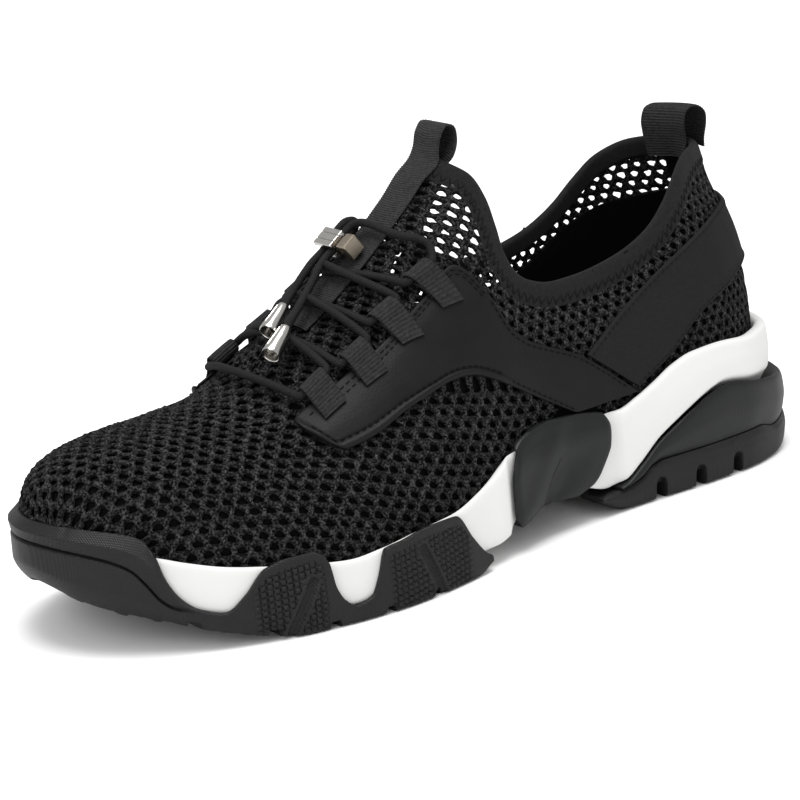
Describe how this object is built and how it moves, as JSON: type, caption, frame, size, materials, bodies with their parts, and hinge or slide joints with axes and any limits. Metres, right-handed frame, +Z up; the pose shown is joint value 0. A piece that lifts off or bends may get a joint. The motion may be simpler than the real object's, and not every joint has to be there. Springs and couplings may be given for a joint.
{
  "type": "work shoe",
  "caption": "Low knit work shoe for the left foot: hollow bootie upper on a chunky moulded sole, with an elastic cord lacing and a spring cord lock.",
  "frame": {"origin": "on the floor under the middle of the sole's box", "axes": "+X towards the toe, +Y towards the wearer's left, the outer side of this left shoe, +Z up"},
  "size_m": [0.3083, 0.1145, 0.142],
  "materials": {
    "rubber": "matt black rubber with fine tread texture",
    "foam": "smooth matt white foam",
    "moulding": "satin black moulding",
    "lining": "black lining cloth",
    "knit": "open black mesh knit",
    "webbing": "black woven tape",
    "leather": "fine-grained black leather",
    "elastic": "braided black elastic cord",
    "steel": "bright plated metal",
    "bronze": "dull warm metal"
  },
  "bodies": {
    "shoe": {"outsole_forefoot": "rubber", "midsole": "foam", "waist_saddle": "moulding", "heel_block": "moulding", "heel_tread": "rubber", "insole": "lining", "upper": "knit", "collar_binding": "webbing", "eyestay_lateral": "leather", "eyestay_medial": "leather", "heel_strap": "webbing", "tongue_strip": "webbing", "heel_loop": "webbing", "lace_loop_lateral_1": "webbing", "lace_loop_lateral_2": "webbing", "lace_loop_lateral_3": "webbing", "lace_loop_lateral_4": "webbing", "lace_loop_medial_1": "webbing", "lace_loop_medial_2": "webbing", "lace_loop_medial_3": "webbing", "lace_loop_medial_4": "webbing", "lace_bar_front": "elastic", "lace_cross_1": "elastic", "lace_cross_2": "elastic", "lace_cross_3": "elastic", "lace_top_lateral": "elastic", "lace_top_medial": "elastic", "lace_tail_upper": "elastic", "lace_tail_lower": "elastic", "cord_tip_upper": "steel", "cord_tip_lower": "steel", "lock_body": "steel"},
    "button": {"lock_button": "bronze"}
  },
  "joints": [
    {"name": "button_press", "type": "slide", "parent": "shoe", "child": "button", "axis": [0, -1, 0], "range_m": [0, 0.0025], "stiffness_N_per_m": 800, "springref_m": -0.001}
  ]
}
